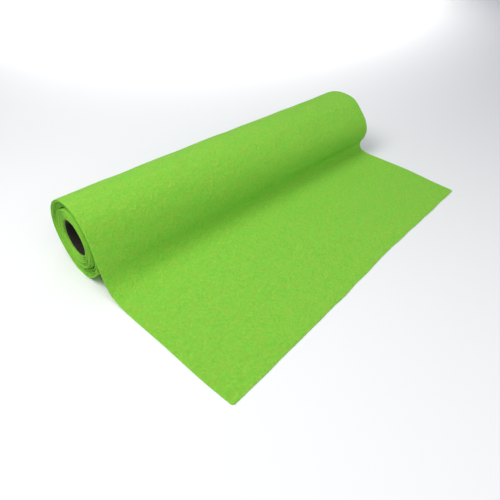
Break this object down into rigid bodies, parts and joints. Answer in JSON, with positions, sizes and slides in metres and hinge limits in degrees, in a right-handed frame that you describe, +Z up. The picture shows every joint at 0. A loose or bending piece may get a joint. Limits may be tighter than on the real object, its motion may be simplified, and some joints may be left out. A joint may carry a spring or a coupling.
{
  "type": "roll of felt",
  "caption": "Roll of green felt on a cardboard core, its last lap pulled off over the front and lying flat on the surface.",
  "frame": {"origin": "middle of the footprint, on the surface that the roll and its loose end lie on", "axes": "+X along the roll towards its far end, -Y the way the loose end lies, +Z up"},
  "size_m": [0.4526, 0.279, 0.0909],
  "materials": {
    "green_felt": "matt, fine fibre mottling",
    "brown_cardboard": "matt, spiral wound"
  },
  "bodies": {
    "root": {"felt": "green_felt", "core_tube": "brown_cardboard"}
  },
  "joints": []
}
